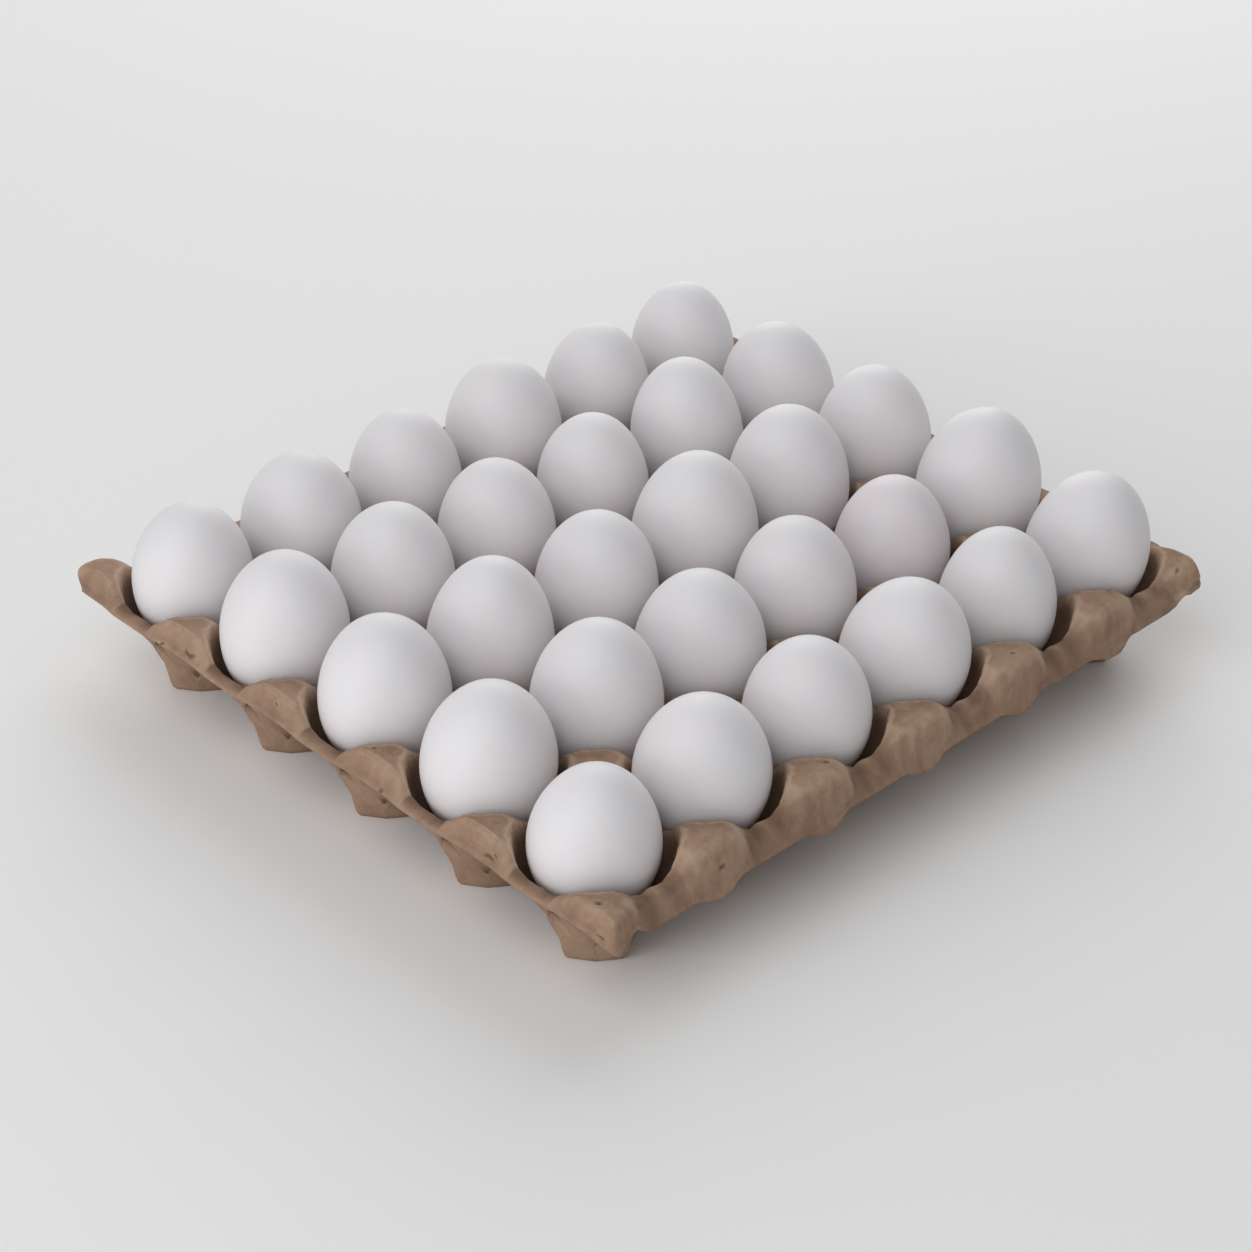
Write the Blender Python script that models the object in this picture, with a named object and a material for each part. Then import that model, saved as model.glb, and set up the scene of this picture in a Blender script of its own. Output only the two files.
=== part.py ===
"""An open moulded-pulp egg tray of five rows of six cells, with an egg standing in every cell.

Metres, +Z up. The tray's feet stand on z = 0 and the origin is the middle of the tray's footprint.
X runs along the rows of six cells and Y across the five rows.
"""

import math

import bmesh
import bpy
import numpy as np

MM = 0.001

# The tray's layout
COLUMNS = 6
ROWS = 5
PITCH_X = 48.5 * MM
PITCH_Y = 51.8 * MM
WALL = 2.0 * MM

# Heights of the tray's upper side above the surface that its feet stand on
FLOOR = WALL
SADDLE = 36.0 * MM
POST = 46.5 * MM
CORNER_POST = 43.5 * MM

# A post: half its flat top, and how far its rounded sides run down to the saddles
POST_CORE_X = 7.5 * MM
POST_CORE_Y = 4.5 * MM
POST_FALL = 9.5 * MM

# The posts on the tray's outer edges have narrower tops and steeper sides on the side that faces out
EDGE_CORE_X = 0.5 * MM
EDGE_CORE_Y = 2.5 * MM
EDGE_STEEPNESS_X = 2.2
EDGE_STEEPNESS_Y = 1.3

# Along the edges of six cells the rim turns down, and hangs lower below each post except the corner ones
LIP_START = 7.5 * MM
LIP_RUN = 1.5 * MM
LIP_DROP = 4.5 * MM
SKIRT_START = 3.5 * MM
SKIRT_RUN = 5.5 * MM
SKIRT_DROP = 5.0 * MM
SKIRT_HALF = 8.0 * MM
SKIRT_FADE = 9.0 * MM

# A cup's wall as (distance from the cup's axis, height) in mm: down its four seat ribs, and towards the posts
RIB_WALL = ((11, 2), (14.3, 20), (16.25, 24.2), (20.5, 30.8), (24.25, 36.5), (26, 45), (28, 60))
BOWL_WALL = ((11, 2), (13.3, 6), (15, 11), (17, 18), (19.5, 26), (22, 34), (24.5, 42), (25.5, 48), (27.5, 60))
RIB_SHARPNESS = 3
BLEND = 2.0 * MM

# The tray's outer edge, and its corners' radius
RIM_HALF_X = 151.0 * MM
RIM_HALF_Y = 138.5 * MM
RIM_CORNER = 7.0 * MM

# Mesh lines across one cell, as distances from its axis, and how far each is drawn into a circle
CELL_LINES = (0.0, 11.0 * MM, 16.25 * MM)
ROUNDING = (1.0, 1.0, 0.4)
EDGE_SLACK = 0.01 * MM

# Mesh lines along the outer edges: over the outermost posts, and the rim
EDGE_LINES_X = (146.5 * MM, 149.0 * MM, RIM_HALF_X)
EDGE_LINES_Y = (125.5 * MM, 133.5 * MM, 137.0 * MM, RIM_HALF_Y)

# Each egg as (width, length, lean): mm and degrees, the front row first, from -X to +X
EGGS = (
    ((43, 52, 4), (45.5, 54, 4), (44, 54, 2), (45, 55, 8), (42, 56, 2), (45, 57, 9)),
    ((45, 57, 4), (45, 59, 3), (45.7, 56, 1), (44, 57, -1), (42, 54, 1), (46, 62, 7)),
    ((45, 58, 1), (44, 60, 4), (44, 57, 3), (46, 61, 5), (45, 61, -1), (44, 59, 1)),
    ((45, 59, 3), (44, 58, 3), (43, 56, 0), (42, 56, 0), (43, 61, -3), (44, 57, -5)),
    ((43, 56, 3), (44, 56, 3), (42, 55, 0), (45, 57, 0), (42, 55, 3), (41, 56, 0)),
)
EGG_SIDES = 10
EGG_RINGS = 6
EGG_TAPER = 0.05
SEAT_RADIUS = 14.5 * MM
SEAT_HEIGHT = 22.9 * MM
LEAN_WAY = math.radians(45)

PULP_COLOUR = (0.26, 0.17, 0.11)
SHELL_COLOUR = (0.68, 0.66, 0.69)


def smooth_min(a, b, width):
    """The smaller of a and b, rounded off where they cross."""
    mix = np.clip(0.5 + 0.5 * (b - a) / width, 0.0, 1.0)
    return b * (1.0 - mix) + a * mix - width * mix * (1.0 - mix)


def ease(value):
    """A smooth step from 0 to 1."""
    value = np.clip(value, 0.0, 1.0)
    return value * value * (3.0 - 2.0 * value)


def wall_height(wall, radius):
    """Height of a cup's wall at a distance from the cup's axis."""
    distances, heights = np.array(wall).T * MM
    return np.interp(radius, distances, heights)


def from_nearest(value, pitch, count):
    """Signed distances from the nearest cell's axis and from the nearest post's."""
    cell = np.clip(np.round(value / pitch + (count - 1) / 2), 0, count - 1)
    post = np.clip(np.round(value / pitch + count / 2), 0, count)
    return value - (cell - (count - 1) / 2) * pitch, value - (post - count / 2) * pitch


def beside_top(value, offset, edge, core, edge_core, edge_steepness):
    """Distance beyond a post's flat top along one axis, stretched where it faces out of the tray."""
    inner = np.maximum(np.abs(offset) - core, 0.0)
    outer = np.maximum(np.abs(offset) - edge_core, 0.0) * edge_steepness
    return np.where(np.abs(value) > edge, outer, inner)


def tray_height(x, y):
    """Height of the tray's upper side."""
    edge_x, edge_y = COLUMNS * PITCH_X / 2, ROWS * PITCH_Y / 2
    cell_x, post_x = from_nearest(x, PITCH_X, COLUMNS)
    cell_y, post_y = from_nearest(y, PITCH_Y, ROWS)
    radius = np.hypot(cell_x, cell_y)
    rib = np.cos(2 * np.arctan2(cell_y, cell_x)) ** (2 * RIB_SHARPNESS)
    cup = rib * wall_height(RIB_WALL, radius) + (1 - rib) * wall_height(BOWL_WALL, radius)
    beside = np.hypot(beside_top(x, post_x, edge_x, POST_CORE_X, EDGE_CORE_X, EDGE_STEEPNESS_X),
                      beside_top(y, post_y, edge_y, POST_CORE_Y, EDGE_CORE_Y, EDGE_STEEPNESS_Y))
    at_end = np.abs(x) > edge_x - PITCH_X / 2
    top = np.where(at_end & (np.abs(y) > edge_y - PITCH_Y / 2), CORNER_POST, POST)
    post = top - (top - SADDLE) * ease(beside / POST_FALL)
    lip = LIP_DROP * ease((np.abs(y) - edge_y - LIP_START) / LIP_RUN)
    skirt = SKIRT_DROP * ease((np.abs(y) - edge_y - SKIRT_START) / SKIRT_RUN)
    below_post = np.where(at_end, 0.0, 1 - ease((np.abs(post_x) - SKIRT_HALF) / SKIRT_FADE))
    return smooth_min(cup, post, BLEND) - lip - skirt * below_post


def mesh_lines(pitch, count, edge_lines):
    """Places of the mesh lines along one axis."""
    places = []
    for cell in range(count):
        axis = (cell - (count - 1) / 2) * pitch
        places += [axis, *(axis + side * step for side in (-1, 1) for step in CELL_LINES[1:])]
    places += [(post - count / 2) * pitch for post in range(1, count)]
    places += [side * line for side in (-1, 1) for line in edge_lines]
    return np.array(sorted(places))


def into_circle(x, y, amount):
    """How far to move points given from a square's middle so that its outline becomes a circle."""
    ring = np.maximum(np.abs(x), np.abs(y))
    pull = amount(ring) * (ring / np.maximum(np.hypot(x, y), 1e-9) - 1)
    return x * pull, y * pull


def tray_surface():
    """The tray's upper side as a grid of points."""
    lines_x = mesh_lines(PITCH_X, COLUMNS, EDGE_LINES_X)
    lines_y = mesh_lines(PITCH_Y, ROWS, EDGE_LINES_Y)
    x, y = np.meshgrid(lines_x, lines_y, indexing="ij")
    cell_x, _ = from_nearest(x, PITCH_X, COLUMNS)
    cell_y, _ = from_nearest(y, PITCH_Y, ROWS)
    move_x, move_y = into_circle(
        cell_x, cell_y, lambda ring: np.interp(ring, (*CELL_LINES, PITCH_X / 2 - BLEND), (*ROUNDING, 0.0)))
    x, y = x + move_x, y + move_y
    z = tray_height(x, y)
    corner_x = np.maximum(np.abs(x) - (RIM_HALF_X - RIM_CORNER), 0) * np.sign(x)
    corner_y = np.maximum(np.abs(y) - (RIM_HALF_Y - RIM_CORNER), 0) * np.sign(y)
    move_x, move_y = into_circle(corner_x, corner_y, np.ones_like)
    return np.stack([x + move_x, y + move_y, z], axis=-1)


def tray_mesh():
    """The tray as one closed shell: its upper side, and its underside a wall's thickness below."""
    points = tray_surface()
    rows, columns, _ = points.shape
    shell = bmesh.new()
    top = [[shell.verts.new(point) for point in row] for row in points]
    for i in range(rows - 1):
        for j in range(columns - 1):
            a, b, c, d = top[i][j], top[i + 1][j], top[i + 1][j + 1], top[i][j + 1]
            middle = (a.co + c.co) / 2
            cell_x, _ = from_nearest(middle.x, PITCH_X, COLUMNS)
            cell_y, _ = from_nearest(middle.y, PITCH_Y, ROWS)
            split = ((a, b, d), (b, c, d)) if cell_x * cell_y > 0 else ((a, b, c), (a, c, d))
            for corners in split:
                shell.faces.new(corners)
    shell.normal_update()
    under = {}
    for vert in list(shell.verts):
        place = vert.co - vert.normal * WALL * vert.calc_shell_factor()
        if vert.co.z < FLOOR + EDGE_SLACK:
            place.z = 0.0
        under[vert] = shell.verts.new(place)
    edges = [edge for edge in shell.edges if edge.is_boundary]
    for face in list(shell.faces):
        shell.faces.new([under[vert] for vert in reversed(face.verts)])
    for edge in edges:
        start, end = edge.verts
        face = edge.link_faces[0]
        corners = [loop.vert for loop in face.loops]
        if corners[(corners.index(start) + 1) % 3] is not end:
            start, end = end, start
        shell.faces.new((end, start, under[start], under[end]))
    mesh = bpy.data.meshes.new("tray")
    shell.to_mesh(mesh)
    shell.free()
    return mesh


def egg_mesh(name, width, length):
    """An egg about its own centre, a little narrower towards its top."""
    heights = [-math.cos(math.pi * ring / EGG_RINGS) for ring in range(1, EGG_RINGS)]
    egg = bmesh.new()
    rings = []
    for height in heights:
        radius = width / 2 * math.sqrt(1 - height * height) * (1 - EGG_TAPER * height)
        rings.append([egg.verts.new((radius * math.cos(turn), radius * math.sin(turn), height * length / 2))
                      for turn in (math.tau * side / EGG_SIDES for side in range(EGG_SIDES))])
    low = egg.verts.new((0, 0, -length / 2))
    high = egg.verts.new((0, 0, length / 2))
    for side in range(EGG_SIDES):
        after = (side + 1) % EGG_SIDES
        egg.faces.new((low, rings[0][after], rings[0][side]))
        egg.faces.new((high, rings[-1][side], rings[-1][after]))
        for lower, upper in zip(rings, rings[1:]):
            egg.faces.new((lower[side], lower[after], upper[after], upper[side]))
    mesh = bpy.data.meshes.new(name)
    egg.to_mesh(mesh)
    egg.free()
    return mesh


def material(name, colour, roughness):
    made = bpy.data.materials.new(name)
    made.use_nodes = True
    shader = made.node_tree.nodes["Principled BSDF"]
    shader.inputs["Base Color"].default_value = (*colour, 1.0)
    shader.inputs["Roughness"].default_value = roughness
    return made


def add_object(name, mesh, finish):
    mesh.materials.append(finish)
    mesh.shade_smooth()
    mesh.set_sharp_from_angle(angle=math.radians(50))
    made = bpy.data.objects.new(name, mesh)
    bpy.context.collection.objects.link(made)
    return made


def add_eggs(shell_finish):
    """One egg to a cell, resting on the cell's ribs where the egg is as wide as they stand apart."""
    for row, sizes in enumerate(EGGS):
        for column, (width, length, lean) in enumerate(sizes):
            width, length = width * MM, length * MM
            name = f"egg_{row + 1}_{column + 1}"
            egg = add_object(name, egg_mesh(name, width, length), shell_finish)
            rise = length / 2 * math.sqrt(1 - (2 * SEAT_RADIUS / width) ** 2)
            egg.location = ((column - (COLUMNS - 1) / 2) * PITCH_X, (row - (ROWS - 1) / 2) * PITCH_Y,
                            SEAT_HEIGHT + rise)
            egg.rotation_mode = "AXIS_ANGLE"
            egg.rotation_axis_angle = (math.radians(lean), math.sin(LEAN_WAY), math.cos(LEAN_WAY), 0.0)


def main():
    for old in list(bpy.data.objects):
        bpy.data.objects.remove(old)
    add_object("tray", tray_mesh(), material("pulp", PULP_COLOUR, 0.95))
    add_eggs(material("eggshell", SHELL_COLOUR, 0.55))


main()
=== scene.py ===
"""Looks of an open moulded-pulp egg tray with a white egg in every cell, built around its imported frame.

Metres, +Z up, in the frame's own axes. The tray's feet stand on z = 0.
"""

import math

import bpy
import numpy as np
from mathutils import Matrix, Vector, noise


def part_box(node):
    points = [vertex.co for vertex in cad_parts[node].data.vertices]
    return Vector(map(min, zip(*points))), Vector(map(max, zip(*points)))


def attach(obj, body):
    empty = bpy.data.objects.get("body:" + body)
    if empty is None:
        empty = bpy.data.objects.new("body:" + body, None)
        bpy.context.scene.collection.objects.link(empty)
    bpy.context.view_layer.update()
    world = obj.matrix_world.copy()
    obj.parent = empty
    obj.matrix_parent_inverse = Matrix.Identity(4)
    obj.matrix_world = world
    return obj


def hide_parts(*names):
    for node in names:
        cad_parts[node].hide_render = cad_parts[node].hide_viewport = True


MM = 0.001

# The tray's layout in mm, as in the frame. All of the tray's form is in mm until its mesh is made.
COLUMNS = 6
ROWS = 5
PITCH_X = 48.5
PITCH_Y = 51.8
POST_LINE_X = COLUMNS * PITCH_X / 2
POST_LINE_Y = ROWS * PITCH_Y / 2
WALL = 2.0
RIM_WALL = 1.3
FLOOR = 2.0
SADDLE = 36.0
POST = 44.6
BLEND = 1.2

# A cup's wall as (distance from the cup's axis, height): down its seat ribs, and towards the posts
RIB_WALL = ((9.2, 2.0), (9.7, 2.6), (10.2, 5.0), (14.3, 19.5), (16.25, 24.0), (20.5, 30.0), (22.6, 33.8),
            (24.25, 35.8), (26.2, 38.0), (27.5, 46), (29, 60))
BOWL_WALL = ((9.2, 2.0), (9.7, 2.6), (10.2, 4.8), (11.5, 9.0), (13.6, 13.5), (17.2, 19), (20.2, 24), (22.8, 28),
             (24.9, 32.5), (25.9, 37), (26.4, 42), (26.8, 48), (28, 60))
RIB_SHARPNESS = 3
# The cups' walls along the short edges: their height at the line of posts, and their slope
SIDE_RIM = 36.0
SIDE_SLOPE = 3.2
# A foot is a rounded square with its sides towards the posts, and this is where that fades into the cup
FOOT_POWER = 8
FOOT_FADE = (13.0, 18.0)

# A post's rounded top, and the run of its sides down to the saddles
POST_CORE_X = 9.5
POST_CORE_Y = 8.0
POST_FALL_X = 9.5
POST_FALL_Y = 13.5
POST_SPREAD = 0.4
POST_DOME = 1.3
BACK_POST = 37.5

# Half widths of the outermost posts' outer faces and the run of their flanks, before and after each post's
# line as one goes round the tray with it on the left: long edges' flanks differ, short edges' are alike.
# LONG_END is where a long edge's faces end.
LONG_FACE = ((4.0, 13.0), (9.0, 5.5))
LONG_END = ((2.0, 13.0), (1.0, 7.5))
SHORT_FACE = ((6.5, 12.0), (6.5, 12.0))

# Profiles across the outer edge at equal steps, as (distance out from the line of the outermost posts, height)
LONG_POST = ((0, 44.6), (3.0, 44.1), (5.2, 42.7), (6.4, 40.4), (7.0, 37.6), (7.4, 33.8), (7.9, 29.6), (8.9, 25.2))
LONG_GAP = ((0, 36.0), (1.7, 35.6), (3.3, 34.6), (4.7, 33.3), (5.9, 32.0), (6.9, 30.8), (7.7, 29.9), (8.4, 29.3))
SHORT_POST = ((0, 44.6), (1.1, 43.8), (2.0, 42.3), (2.6, 40.6), (3.1, 39.0), (3.8, 37.9), (4.7, 37.3), (5.6, 36.6))
SHORT_GAP = ((0, 35.4), (1.2, 36.0), (2.2, 36.3), (3.1, 36.4), (3.9, 36.4), (4.6, 36.3), (5.2, 36.0), (5.7, 35.4))

# Each corner, by its side in X and in Y: its post's height, how square its outline is (2 is round), how much it
# bulges, how much further the long edge next to it stands out and how much its rim is tucked in, how much lower
# the post's outer side is, and how much higher the long edge's rim is than below its other posts
CORNERS = {(-1, 1): (44.0, 3.0, 1.5, 0.0, 4.5, 0.0, 9.0), (-1, -1): (43.0, 1.7, 0.0, 1.5, 0.0, 0.0, 4.0),
           (1, -1): (41.4, 1.8, 0.0, 0.0, 2.0, 4.5, 5.0), (1, 1): (40.0, 2.0, 0.0, 0.0, 0.0, 0.0, 4.0)}
# How far along the long edges a corner's outline reaches
CORNER_RUN = 10.0

# Mesh lines from a cell's axis to its post line, and how far each is drawn into a circle
CELL_LINES = (0, 5, 9.2, 9.7, 10.2, 11.7, 14.0, 16.0, 17.4, 18.6, 19.7, 20.7, 21.6, 22.5, 23.4)
EXTRA_LINES_Y = (24.3, 25.1)
ROUND_TO, ROUND_HALF, ROUND_END = 12.6, 16.5, 21.5
EDGE_STEPS = 16

# How deep in a cup the painted shade starts, and how dark the painted shade in the recesses between the long edges'
# posts is
CUP_EDGE = 1.8
CUP_EDGE_RUN = 4.0
RECESS_SHADE = 0.45

# Unevenness of the pulp: (size of its lumps, height)
RELIEF = ((16.0, 0.40), (6.0, 0.16), (2.6, 0.08))
SEAT_RELIEF = 0.25
FLUTE_SIZE = 3.2
FLUTE_DEPTH = 0.35
PITS_PER_POST = 1
PIT_RADIUS = (0.8, 1.6)
PIT_DEPTH = 0.5
# A gouge at the foot of each short edge's post: its place from the post's top and its half sizes
GOUGE_PLACE = (3.6, -6.5, -7.5)
GOUGE_SIZE = (1.3, 3.6, 1.3)
# How much dents' outlines are bent, and over what distance
DENT_WARP = 1.1
DENT_WARP_SIZE = 3.0

# Each egg as (width, length, lean, shift, taper), the front row first, from -X to +X: mm and degrees. Lean and
# shift are towards LEAN_WAY, and taper is how much narrower the upper half is.
LEAN_WAY = math.radians(-45)
EGGS = (
    ((43.2, 52, 4, -0.3, 0.09), (45.5, 54, 4, -0.9, 0.05), (43.8, 54, 2, -0.5, 0.05),
     (45.3, 55, 8, -0.4, 0.05), (42.1, 56, 2, -0.8, 0.09), (44.7, 57, 10, -0.1, 0.06)),
    ((45.2, 57, 4, 0.9, 0.05), (45.1, 59, 3, 0.4, 0.06), (45.8, 56, 1, 0.5, 0.09),
     (43.6, 57, -1, -0.5, 0.05), (42.3, 54, 1, 0.8, 0.09), (46.0, 62, 7, -0.1, 0.05)),
    ((45.1, 58, 1, 0.5, 0.05), (44.4, 60, 4, -0.4, 0.09), (44.2, 57, 3, 0.6, 0.05),
     (46.2, 61, 5, 0.8, 0.08), (45.3, 61, -1, 0.9, 0.05), (44.0, 59, 1, -0.6, 0.05)),
    ((45.0, 59, 3, -0.4, 0.04), (44.4, 58, 3, -0.5, 0.05), (43.1, 56, 0, -0.1, 0.05),
     (41.9, 56, 0, -0.7, 0.05), (43.0, 61, -3, -0.4, 0.06), (44.0, 57, -5, 0.6, 0.05)),
    ((43.3, 56, 3, -0.8, 0.05), (44.3, 56, 3, -0.3, 0.05), (42.4, 55, 0, 0.3, 0.05),
     (44.7, 57, 0, 0.8, 0.05), (41.4, 55, 3, 0.9, 0.05), (41.1, 56, 0, 0.0, 0.05)),
)
EGG_SIDES = 56
EGG_RINGS = 36
EGG_UNEVEN = 0.22
PINK_EGG = (1, 4)

SEED = 7


def smooth_min(a, b, width):
    """The smaller of a and b, rounded off where they cross."""
    mix = np.clip(0.5 + 0.5 * (b - a) / width, 0.0, 1.0)
    return b * (1.0 - mix) + a * mix - width * mix * (1.0 - mix)


def ease(value):
    """A smooth step from 0 to 1."""
    value = np.clip(value, 0.0, 1.0)
    return value * value * (3.0 - 2.0 * value)


def along(table, at):
    """A smooth curve through a table's evenly spaced rows, for places from 0 to 1."""
    rows = np.array(table, float)
    rows = np.vstack([2 * rows[0] - rows[1], rows, 2 * rows[-1] - rows[-2]])
    place = np.clip(at, 0.0, 1.0) * (len(table) - 1)
    step = np.minimum(place.astype(int), len(table) - 2)
    t = (place - step)[..., None]
    before, start, end, after = (rows[step + k] for k in range(4))
    curve = 0.5 * (2 * start + (end - before) * t + (2 * before - 5 * start + 4 * end - after) * t ** 2
                   + (3 * start - 3 * end + after - before) * t ** 3)
    return curve[..., 0], curve[..., 1]


def from_nearest(value, pitch, count):
    """Signed distances from the nearest cell's axis and from the nearest post's, and that post's number."""
    cell = np.clip(np.round(value / pitch + (count - 1) / 2), 0, count - 1)
    post = np.clip(np.round(value / pitch + count / 2), 0, count).astype(int)
    return value - (cell - (count - 1) / 2) * pitch, value - (post - count / 2) * pitch, post


def foot_square(x, y, radius):
    """How much nearer than a circle's the sides of a foot's rounded square are, as a share of its corners."""
    fade = 1 - ease((radius - FOOT_FADE[0]) / (FOOT_FADE[1] - FOOT_FADE[0]))
    angle = np.arctan2(y, x) - math.pi / 4
    return (1 - (np.abs(np.cos(angle)) ** FOOT_POWER + np.abs(np.sin(angle)) ** FOOT_POWER) ** (1 / FOOT_POWER)) * fade


def post_tops():
    """The height of every post, slightly uneven, and lower along the two edges away from the near corner."""
    tops = np.full((COLUMNS + 1, ROWS + 1), POST)
    tops[COLUMNS, :] = tops[:, ROWS] = BACK_POST
    tops += np.random.default_rng(SEED).normal(0.0, POST_SPREAD, tops.shape)
    for (side_x, side_y), (top, *_) in CORNERS.items():
        tops[0 if side_x < 0 else COLUMNS, 0 if side_y < 0 else ROWS] = top
    return tops


def inner_height(x, y, tops):
    """The tray's upper side between the lines of its outermost posts: its height, and how far the cups are
    below the posts and saddles around them."""
    cell_x, post_x, column = from_nearest(x, PITCH_X, COLUMNS)
    cell_y, post_y, row = from_nearest(y, PITCH_Y, ROWS)
    radius = np.hypot(cell_x, cell_y)
    radius = radius * (1 - foot_square(cell_x, cell_y, radius))
    rib = np.cos(2 * np.arctan2(cell_y, cell_x)) ** (2 * RIB_SHARPNESS)
    rib_wall, bowl_wall = (np.interp(radius, *np.array(wall, float).T) for wall in (RIB_WALL, BOWL_WALL))
    cup = np.maximum(rib * rib_wall + (1 - rib) * bowl_wall, SIDE_RIM - SIDE_SLOPE * (POST_LINE_X - np.abs(x)))
    beside = np.hypot(np.maximum(np.abs(post_x) - POST_CORE_X, 0) / POST_FALL_X,
                      np.maximum(np.abs(post_y) - POST_CORE_Y, 0) / POST_FALL_Y)
    top = tops[column, row] - POST_DOME * np.minimum(np.hypot(post_x, post_y) / POST_CORE_X, 1) ** 2
    post = top - (top - SADDLE) * ease(beside)
    return smooth_min(cup, post, BLEND), post - cup


def mesh_lines(pitch, count, extra):
    """Mesh lines along one axis: their places, and how far across the outer edge each is, signed."""
    steps = (*CELL_LINES, *extra)
    places = {round((post - count / 2) * pitch, 4) for post in range(count + 1)}
    for cell in range(count):
        axis = (cell - (count - 1) / 2) * pitch
        places |= {round(axis + side * step, 4) for step in steps for side in (-1, 1)}
    places = sorted(places)
    edge = [step / EDGE_STEPS for step in range(1, EDGE_STEPS + 1)]
    places = [places[0]] * EDGE_STEPS + places + [places[-1]] * EDGE_STEPS
    across = [-t for t in reversed(edge)] + [0.0] * (len(places) - 2 * EDGE_STEPS) + edge
    return np.array(places), np.array(across)


def tray_surface():
    """The tray's upper side as a grid of points, with how far across the outer edge each is, how much painted
    shade it gets in its cups and in the recesses between the long edges' posts, and how much it belongs to a long edge."""
    lines_x, across_x = mesh_lines(PITCH_X, COLUMNS, ())
    lines_y, across_y = mesh_lines(PITCH_Y, ROWS, EXTRA_LINES_Y)
    x, y = np.meshgrid(lines_x, lines_y, indexing="ij")
    side_x, side_y = np.meshgrid(across_x, across_y, indexing="ij")
    cell_x, _, _ = from_nearest(x, PITCH_X, COLUMNS)
    cell_y, _, _ = from_nearest(y, PITCH_Y, ROWS)
    ring = np.maximum(np.abs(cell_x), np.abs(cell_y))
    pull = np.interp(ring, (0, ROUND_TO, ROUND_HALF, ROUND_END), (1.0, 1.0, 0.5, 0.0))
    target = ring / (1 - foot_square(cell_x, cell_y, ring))
    pull = pull * (target / np.maximum(np.hypot(cell_x, cell_y), 1e-9) - 1)
    x, y = x + cell_x * pull, y + cell_y * pull
    tops = post_tops()
    height, depth = inner_height(x, y, tops)

    across = np.maximum(np.abs(side_x), np.abs(side_y))
    in_corner = (side_x != 0) & (side_y != 0)
    share = np.abs(side_y) / np.maximum(np.abs(side_x), 1e-9)
    turn = np.where(share <= 1, share / 2, 1 - 1 / np.maximum(2 * share, 1e-9))
    turn = np.where(np.abs(side_x) == 0, 1.0, turn)
    _, post_x, _ = from_nearest(x, PITCH_X, COLUMNS)
    _, post_y, _ = from_nearest(y, PITCH_Y, ROWS)
    outs, heights = [], []
    squarer, lower = ease(across / 0.35), ease((across - 0.65) / 0.35)
    for post, gap, offset, top, face, end in (
            (SHORT_POST, SHORT_GAP, post_y * np.sign(x), (POST_CORE_Y, POST_FALL_Y), SHORT_FACE, SHORT_FACE),
            (LONG_POST, LONG_GAP, -post_x * np.sign(y), (POST_CORE_X, POST_FALL_X), LONG_FACE, LONG_END)):
        face, end = ([np.where(offset < 0, before, after) for before, after in zip(*part)] for part in (face, end))
        half, fall = (start + (middle - start) * squarer + (last - middle) * lower
                      for start, middle, last in zip(top, face, end))
        on_post = np.where(in_corner, 1.0, 1 - ease((np.abs(offset) - half) / fall))
        (post_out, post_z), (gap_out, gap_z) = along(post, across), along(gap, across)
        outs.append(gap_out + (post_out - gap_out) * on_post)
        start = gap[0][1] + (post[0][1] - gap[0][1]) * on_post
        heights.append(gap_z + (post_z - gap_z) * on_post + (height - start) * (1 - across))
    blend = ease(turn)
    edge_height = heights[0] + (heights[1] - heights[0]) * blend
    at_corner = (np.abs(x) > POST_LINE_X - PITCH_X / 2) & (np.abs(y) > POST_LINE_Y - PITCH_Y / 2)
    near_corner = np.where(at_corner, 1 - ease((np.hypot(np.where(in_corner, 0, post_x), np.where(in_corner, 0, post_y)) - 9) / 8), 0)
    along_long = 1 - ease(np.abs(np.where(in_corner, 0, post_x)) / CORNER_RUN)
    roundness = np.ones(x.shape)
    upper, lower = ease(across / 0.5), ease((across - 0.5) / 0.5)
    for (sign_x, sign_y), (_, power, bulge, on_long, tuck, droop, lift) in CORNERS.items():
        here = at_corner & (np.sign(x) == sign_x) & (np.sign(y) == sign_y)
        roundness = np.where(here, 2 / power, roundness)
        point = bulge * np.sin(math.pi * across) * np.sin(math.pi * turn) ** 2 * here * in_corner
        outs = [outs[0] + point, outs[1] + point + (on_long * upper - tuck * lower) * along_long * here]
        edge_height = edge_height + near_corner * here * (lift * ease(across) * blend - droop * (upper - lower * blend))
    angle = turn * math.pi / 2
    on_edge = across > 0
    x = np.where(on_edge, x + np.sign(side_x) * np.maximum(np.cos(angle), 0) ** roundness * outs[0], x)
    y = np.where(on_edge, y + np.sign(side_y) * np.maximum(np.sin(angle), 0) ** roundness * outs[1], y)
    z = np.where(on_edge, edge_height, height)
    # Painted shade: the colour is darker deep in the cups and in the recesses between the long edges' posts, where
    # shade falls
    cup_shade = ease((depth - CUP_EDGE) / CUP_EDGE_RUN) * (across == 0)
    painted_shade = cup_shade + RECESS_SHADE * (1 - on_post) * blend * ease(across / 0.3) * ~in_corner
    return np.stack([x, y, z], axis=-1), across, painted_shade, blend


def grid_normals(points):
    """Unit normals of a grid of points, facing up and out."""
    normals = np.cross(np.gradient(points, axis=0), np.gradient(points, axis=1))
    return normals / np.maximum(np.linalg.norm(normals, axis=-1, keepdims=True), 1e-12)


def softened(values):
    """Values of a grid averaged with their neighbours'."""
    padded = np.pad(values, ((1, 1), (1, 1), (0, 0)), mode="edge")
    return (2 * padded[1:-1, 1:-1] + padded[:-2, 1:-1] + padded[2:, 1:-1] + padded[1:-1, :-2] + padded[1:-1, 2:]) / 6


def lumps(points, layers, shift):
    """Uneven noise at points, as the sum of layers of (size, height)."""
    total = np.zeros(len(points))
    for size, height in layers:
        total += height * np.array([noise.noise(Vector(point) / size + Vector((shift, size, 0))) for point in points])
    return total


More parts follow.
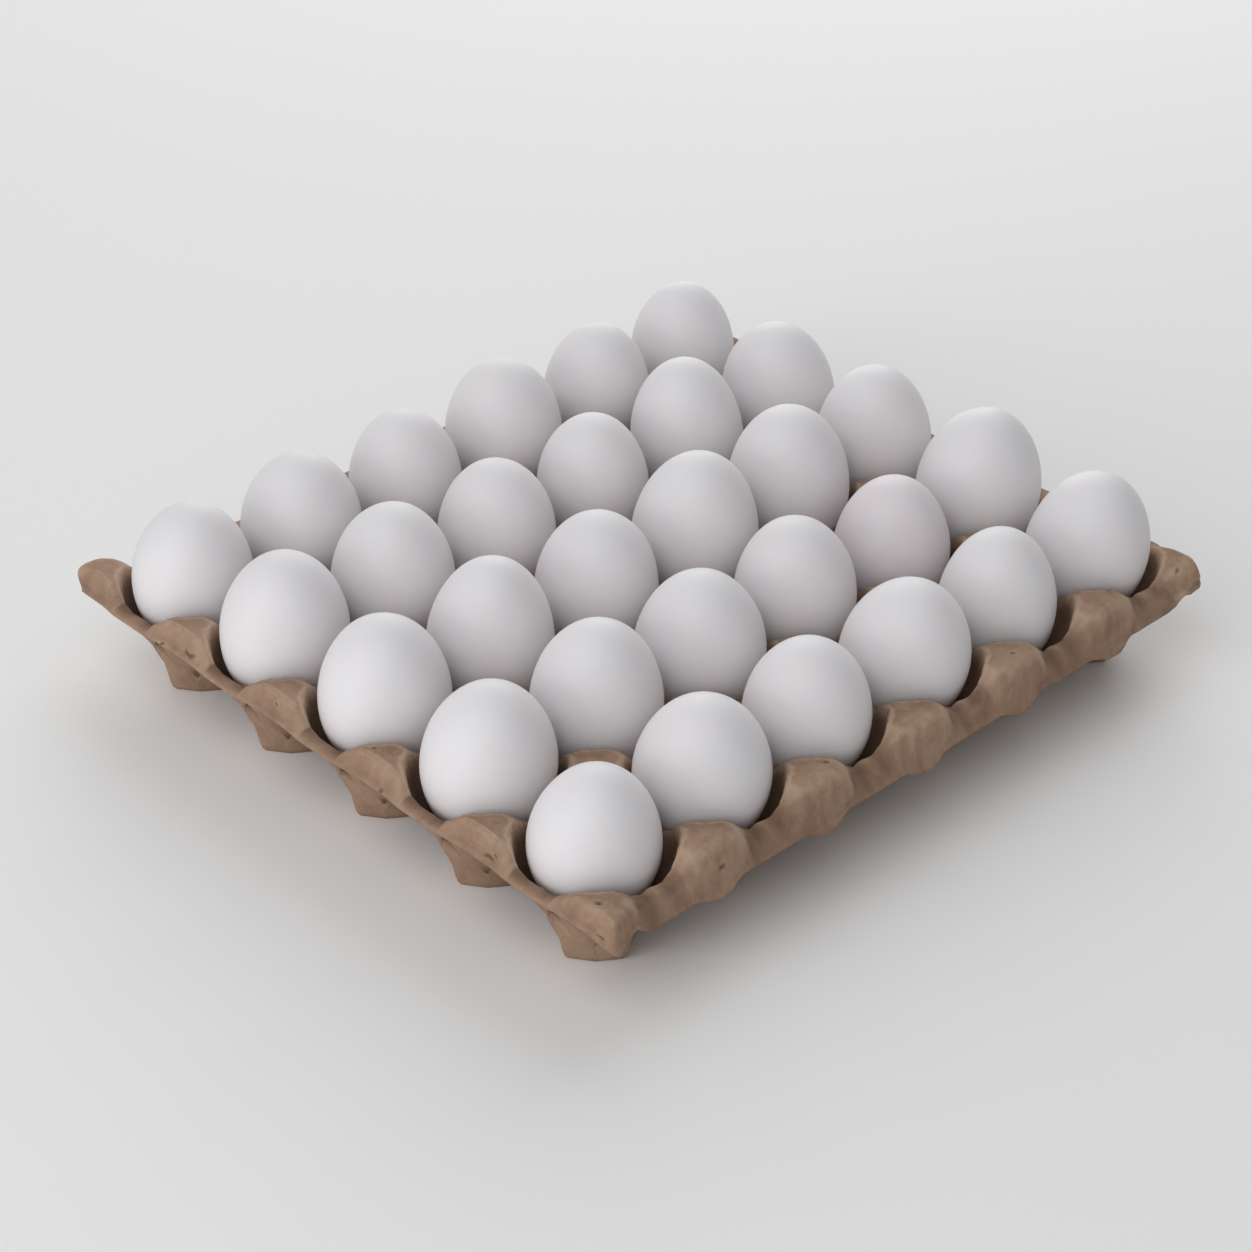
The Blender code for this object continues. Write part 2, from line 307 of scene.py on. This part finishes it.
def dent(points, middle, size):
    """How deep in a dent each point is, from 0 to 1."""
    return np.clip(1 - np.sum(((points - middle) / size) ** 2, axis=1), 0, 1)


def tray_mesh():
    """The tray as one closed shell, with its unevenness, its pits, and how convex it is at each point."""
    points, across, painted_shade, on_long = tray_surface()
    rows, columns, _ = points.shape
    normals = grid_normals(points)
    flat = points.reshape(-1, 3)
    in_cup = ease((34.0 - flat[:, 2]) / 3.0) * (across.reshape(-1) == 0)
    relief = lumps(flat, RELIEF, 0.0) * (1 - (1 - SEAT_RELIEF) * in_cup)
    streaks = np.array([noise.noise(Vector((x / FLUTE_SIZE, y / FLUTE_SIZE, z / 30.0))) for x, y, z in flat])
    on_face = (ease(across / 0.4) * on_long).reshape(-1) * (across > 0).reshape(-1)
    relief += FLUTE_DEPTH * streaks * on_face
    rng = np.random.default_rng(SEED + 1)
    pits = np.zeros(len(flat))
    uneven = flat + DENT_WARP * np.array([noise.noise_vector(Vector(point) / DENT_WARP_SIZE) for point in flat])
    for i in range(COLUMNS + 1):
        for j in range(ROWS + 1):
            centre_x, centre_y = (i - COLUMNS / 2) * PITCH_X, (j - ROWS / 2) * PITCH_Y
            near = np.flatnonzero((np.abs(flat[:, 0] - centre_x) < 13) & (np.abs(flat[:, 1] - centre_y) < 11)
                                  & (flat[:, 2] > SADDLE))
            for _ in range(PITS_PER_POST):
                middle = uneven[near[rng.integers(len(near))]]
                pits[near] = np.maximum(pits[near], dent(uneven[near], middle, rng.uniform(*PIT_RADIUS)))
            if i in (0, COLUMNS):
                place = GOUGE_PLACE * rng.uniform(0.85, 1.15, 3) * (math.copysign(1, centre_x), 1, 1)
                size = GOUGE_SIZE * rng.uniform(0.7, 1.2, 3)
                pits = np.maximum(pits, dent(uneven, place + (centre_x, centre_y, POST), size))
    relief -= PIT_DEPTH * pits
    upper = points + normals * relief.reshape(rows, columns, 1)
    wall = WALL + (RIM_WALL - WALL) * ease(across / 0.6)
    under = points - softened(softened(normals)) * wall[..., None]
    under_relief = lumps(under.reshape(-1, 3), RELIEF, 5.0).reshape(rows, columns, 1)
    under = under + normals * under_relief * 0.6
    on_floor = points[..., 2] < FLOOR + 0.02
    under[..., 2] = np.where(on_floor, 0.0, np.maximum(under[..., 2], 0.15))
    # How convex each point is, which the material uses for paler ridges and for painted shade in creases
    convex = np.sum((upper - softened(softened(upper))) * normals, axis=-1)
    spacing = np.linalg.norm(np.gradient(upper, axis=0), axis=-1) + np.linalg.norm(np.gradient(upper, axis=1), axis=-1)
    convex = np.clip(convex / np.maximum(spacing, 0.5) * 8, -1, 1)

    count = rows * columns
    number = np.arange(count).reshape(rows, columns)
    a, b, c, d = (part.reshape(-1) for part in (number[:-1, :-1], number[1:, :-1], number[1:, 1:], number[:-1, 1:]))
    middle = (points[:-1, :-1] + points[1:, 1:]).reshape(-1, 3) / 2
    towards = from_nearest(middle[:, 0], PITCH_X, COLUMNS)[0] * from_nearest(middle[:, 1], PITCH_Y, ROWS)[0]
    split = (towards > 0)[:, None]
    faces = np.concatenate([np.where(split, np.stack([a, b, d], axis=-1), np.stack([a, b, c], axis=-1)),
                            np.where(split, np.stack([b, c, d], axis=-1), np.stack([a, c, d], axis=-1))])
    under_faces = faces[:, ::-1] + count
    rim = np.concatenate([number[:, 0], number[-1, 1:], number[-2::-1, -1], number[0, -2:0:-1]])
    after = np.roll(rim, -1)
    rim_faces = np.stack([after, rim, rim + count, after + count], axis=-1)
    mesh = bpy.data.meshes.new("pulp_tray")
    mesh.from_pydata((np.concatenate([upper.reshape(-1, 3), under.reshape(-1, 3)]) * MM).tolist(), [],
                     np.concatenate([faces, under_faces]).tolist() + rim_faces.tolist())
    nothing = np.zeros(count)
    for name, over, below in (("pits", pits, nothing), ("convex", convex.reshape(-1), nothing),
                              ("painted_shade", painted_shade.reshape(-1), nothing)):
        mesh.attributes.new(name, "FLOAT", "POINT").data.foreach_set(
            "value", np.concatenate([over, below]).astype(np.float32))
    return mesh


def egg_mesh(name, width, length, taper, seed):
    """An egg about its own centre, narrower towards its top and slightly uneven."""
    heights = [-math.cos(math.pi * ring / EGG_RINGS) for ring in range(1, EGG_RINGS)]
    points = [Vector((0, 0, -length / 2))]
    for height in heights:
        radius = width / 2 * math.sqrt(1 - height * height) * (1 - taper * height)
        for side in range(EGG_SIDES):
            turn = math.tau * side / EGG_SIDES
            points.append(Vector((radius * math.cos(turn), radius * math.sin(turn), height * length / 2)))
    points.append(Vector((0, 0, length / 2)))
    shift = Vector((seed * 3.7, 0, 0))
    points = [p + p.normalized() * EGG_UNEVEN * noise.noise(p / 17 + shift) for p in points]
    faces = []
    last = len(points) - 1
    for side in range(EGG_SIDES):
        after = (side + 1) % EGG_SIDES
        faces.append((0, 1 + after, 1 + side))
        faces.append((last, last - EGG_SIDES + side, last - EGG_SIDES + after))
        for ring in range(EGG_RINGS - 2):
            low, high = 1 + ring * EGG_SIDES, 1 + (ring + 1) * EGG_SIDES
            faces.append((low + side, low + after, high + after, high + side))
    mesh = bpy.data.meshes.new(name)
    mesh.from_pydata([p * MM for p in points], [], faces)
    return mesh


class Nodes:
    """A short way to write a material's node tree."""

    def __init__(self, name):
        self.material = bpy.data.materials.new(name)
        self.material.use_nodes = True
        self.tree = self.material.node_tree
        self.shader = self.tree.nodes["Principled BSDF"]

    def add(self, kind, inputs=(), **settings):
        node = self.tree.nodes.new("ShaderNode" + kind)
        for key, value in settings.items():
            setattr(node, key, value)
        for key, value in dict(inputs).items():
            self.put(node.inputs[key], value)
        return node

    def put(self, socket, value):
        if isinstance(value, bpy.types.NodeSocket):
            self.tree.links.new(value, socket)
        else:
            socket.default_value = value

    def noise(self, where, size, detail=3.0, roughness=0.55):
        made = self.add("TexNoise", {"Vector": where, "Scale": 1 / size, "Detail": detail, "Roughness": roughness})
        return made.outputs["Fac"]

    def remap(self, value, low, high, to_low, to_high):
        made = self.add("MapRange", {0: value, 1: low, 2: high, 3: to_low, 4: to_high})
        return made.outputs[0]

    def math(self, operation, a, b):
        return self.add("Math", {0: a, 1: b}, operation=operation).outputs[0]

    def mix(self, share, a, b, blend="MIX"):
        made = self.add("Mix", data_type="RGBA", blend_type=blend)
        for socket, value in ((made.inputs[0], share), (made.inputs[6], a), (made.inputs[7], b)):
            self.put(socket, value)
        return made.outputs[2]


def pulp_material():
    """Grey-brown moulded paper pulp: matt, fibrous and mottled, with painted shade in its cups, creases, recesses and
    pits, and paler ridges, partly from wear and partly a painted highlight.
    """
    n = Nodes("pulp")
    where = n.add("TexCoord").outputs["Object"]
    streak = n.add("Mapping", {"Vector": where, "Scale": (1.0, 1.0, 0.22)}).outputs[0]
    colour = n.mix(n.remap(n.noise(where, 0.045, 2.0), 0.35, 0.65, 0, 1), (0.33, 0.213, 0.148, 1), (0.40, 0.268, 0.188, 1))
    colour = n.mix(n.remap(n.noise(where, 0.011, 3.0, 0.6), 0.45, 0.7, 0, 0.7), colour, (0.27, 0.158, 0.105, 1))
    colour = n.mix(n.remap(n.noise(streak, 0.0055), 0.44, 0.7, 0, 0.4), colour, (0.45, 0.31, 0.215, 1))
    colour = n.mix(n.remap(n.noise(streak, 0.007, 4.0), 0.5, 0.72, 0, 0.4), colour, (0.235, 0.14, 0.095, 1))
    colour = n.mix(n.remap(n.noise(where, 0.0011, 3.0, 0.7), 0.3, 0.7, 0.86, 1.0), (0.1, 0.06, 0.04, 1), colour)
    fibres = n.add("Mapping", {"Vector": where, "Rotation": (0.6, 0.4, 0.9), "Scale": (1.0, 0.12, 1.0)}).outputs[0]
    colour = n.mix(n.remap(n.noise(fibres, 0.0009, 2.0), 0.64, 0.78, 0, 0.3), colour, (0.55, 0.42, 0.32, 1))
    convex = n.add("Attribute", attribute_name="convex").outputs["Fac"]
    # Ridges paler, partly rubbed wear and partly a painted highlight where light catches the edges
    colour = n.mix(n.remap(convex, 0.05, 0.7, 0, 0.5), colour, (0.56, 0.42, 0.31, 1))
    # Painted shade: creases darker where shade falls in them
    colour = n.mix(n.remap(convex, -0.05, -0.7, 0, 0.6), colour, (0.12, 0.07, 0.045, 1))
    # Painted shade inside the cups and in the recesses between the long edges' posts
    painted_shade = n.add("Attribute", attribute_name="painted_shade").outputs["Fac"]
    colour = n.mix(n.remap(painted_shade, 0, 1, 0, 0.5), colour, (0.11, 0.062, 0.04, 1))
    pits = n.add("Attribute", attribute_name="pits").outputs["Fac"]
    # Painted shade: the dents of the pits and gouges are made darker in colour, as shade in them
    colour = n.mix(n.remap(pits, 0.1, 0.8, 0, 0.38), colour, (0.08, 0.045, 0.03, 1))
    n.put(n.shader.inputs["Base Color"], colour)
    n.put(n.shader.inputs["Roughness"], n.remap(n.noise(where, 0.003), 0.3, 0.7, 0.86, 0.98))
    n.shader.inputs["Specular IOR Level"].default_value = 0.25
    rough = n.math("ADD", n.noise(where, 0.0035, 4.0, 0.65), n.math("MULTIPLY", n.noise(fibres, 0.0011, 3.0), 0.4))
    bump = n.add("Bump", {"Height": rough, "Strength": 0.55, "Distance": 0.0009})
    n.put(n.shader.inputs["Normal"], bump.outputs[0])
    return n.material


def shell_material(name, colour, blush):
    """White eggshell: a soft sheen, faint blotches, and fine pores."""
    n = Nodes(name)
    where = n.add("TexCoord").outputs["Object"]
    blotches = n.remap(n.noise(where, 0.021, 2.0), 0.38, 0.66, 0, 1)
    tinted = n.mix(blotches, (*colour, 1), (*blush, 1))
    pores = n.noise(where, 0.0011, 2.0, 0.6)
    tinted = n.mix(n.remap(pores, 0.55, 0.8, 0, 0.12), tinted, (*(0.86 * c for c in colour), 1))
    n.put(n.shader.inputs["Base Color"], tinted)
    n.put(n.shader.inputs["Roughness"], n.remap(n.noise(where, 0.006), 0.3, 0.7, 0.44, 0.56))
    n.shader.inputs["Specular IOR Level"].default_value = 0.4
    bump = n.add("Bump", {"Height": pores, "Strength": 0.12, "Distance": 0.0002})
    n.put(n.shader.inputs["Normal"], bump.outputs[0])
    return n.material


def add_piece(name, mesh, finish, node):
    """A visible piece that stands for a node of the frame."""
    mesh.materials.append(finish)
    mesh.shade_smooth()
    piece = bpy.data.objects.new(name, mesh)
    bpy.context.collection.objects.link(piece)
    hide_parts(node)
    return piece


def add_tray():
    mesh = tray_mesh()
    mesh.update()
    piece = add_piece("pulp_tray", mesh, pulp_material(), "tray")
    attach(piece, "root")


def add_eggs():
    plain = shell_material("eggshell", (0.77, 0.757, 0.777), (0.77, 0.742, 0.76))
    pink = shell_material("eggshell_pink", (0.76, 0.725, 0.75), (0.75, 0.695, 0.722))
    way = Vector((math.cos(LEAN_WAY), math.sin(LEAN_WAY), 0))
    axis = Vector((0, 0, 1)).cross(way)
    rng = np.random.default_rng(SEED + 2)
    for row, eggs in enumerate(EGGS):
        for column, (width, length, lean, shift, taper) in enumerate(eggs):
            node = f"egg_{row + 1}_{column + 1}"
            low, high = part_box(node)
            mesh = egg_mesh("shell" + node[3:], width, length, taper, row * COLUMNS + column)
            finish = pink if (row, column) == PINK_EGG else plain
            piece = add_piece("shell" + node[3:], mesh, finish, node)
            spin = Matrix.Rotation(rng.uniform(0, math.tau), 4, "Z")
            centre = (low + high) / 2 + way * shift * MM
            piece.matrix_world = Matrix.Translation(centre) @ Matrix.Rotation(math.radians(lean), 4, axis) @ spin
            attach(piece, "root")


CAMERA_TURN = math.radians(43.71)
CAMERA_DROP = math.radians(33.94)
CAMERA_DISTANCE = 1.153
CAMERA_TARGET = Vector((0.0111, 0.0211, 0.0))
CAMERA_LENS = 89.4


def facing(direction):
    """A rotation that points an object's -Z along a direction, with its +Y up."""
    return direction.to_track_quat("-Z", "Y").to_euler()


def add_camera():
    forward = Vector((math.sin(CAMERA_TURN) * math.cos(CAMERA_DROP), math.cos(CAMERA_TURN) * math.cos(CAMERA_DROP),
                      -math.sin(CAMERA_DROP)))
    data = bpy.data.cameras.new("camera")
    data.lens = CAMERA_LENS
    data.sensor_width = 36
    camera = bpy.data.objects.new("camera", data)
    bpy.context.collection.objects.link(camera)
    camera.location = CAMERA_TARGET - forward * CAMERA_DISTANCE
    camera.rotation_euler = facing(forward)
    bpy.context.scene.camera = camera


def add_light(name, place, size, power, colour=(1, 1, 1)):
    """A square area light, placed as (right, towards the camera, up) from the tray's middle and aimed at it."""
    right = Vector((math.cos(CAMERA_TURN), -math.sin(CAMERA_TURN), 0))
    near = Vector((-math.sin(CAMERA_TURN), -math.cos(CAMERA_TURN), 0))
    data = bpy.data.lights.new(name, "AREA")
    data.size = size
    data.energy = power
    data.color = colour
    light = bpy.data.objects.new(name, data)
    bpy.context.collection.objects.link(light)
    light.location = right * place[0] + near * place[1] + Vector((0, 0, place[2]))
    light.rotation_euler = facing(Vector((0, 0, 0.03)) - light.location)


def add_stage():
    mesh = bpy.data.meshes.new("floor")
    half = 8.0
    mesh.from_pydata([(-half, -half, 0), (half, -half, 0), (half, half, 0), (-half, half, 0)], [], [(0, 1, 2, 3)])
    floor = bpy.data.objects.new("floor", mesh)
    bpy.context.collection.objects.link(floor)
    n = Nodes("floor")
    n.shader.inputs["Base Color"].default_value = (0.86, 0.86, 0.86, 1)
    n.shader.inputs["Roughness"].default_value = 0.9
    mesh.materials.append(n.material)
    world = bpy.data.worlds.new("studio")
    world.use_nodes = True
    world.node_tree.nodes["Background"].inputs[0].default_value = (1.0, 1.0, 1.0, 1)
    world.node_tree.nodes["Background"].inputs[1].default_value = 0.31
    bpy.context.scene.world = world
    add_light("front", (-0.62, 1.11, 1.27), 1.9, 15)
    add_light("low", (-1.45, 1.0, 0.3), 1.2, 9.5)
    add_light("back", (0.36, -1.33, 1.16), 1.6, 11)
    add_light("rim", (0, -1.74, 0.47), 1.2, 8)


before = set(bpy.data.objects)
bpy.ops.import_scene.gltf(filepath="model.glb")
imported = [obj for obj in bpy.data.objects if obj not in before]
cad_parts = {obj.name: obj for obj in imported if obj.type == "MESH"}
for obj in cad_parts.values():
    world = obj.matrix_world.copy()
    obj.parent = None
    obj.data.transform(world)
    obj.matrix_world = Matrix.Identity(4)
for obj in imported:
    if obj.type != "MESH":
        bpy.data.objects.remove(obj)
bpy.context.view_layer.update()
add_camera()
add_stage()
add_tray()
add_eggs()
bpy.context.scene.view_settings.view_transform = "Standard"
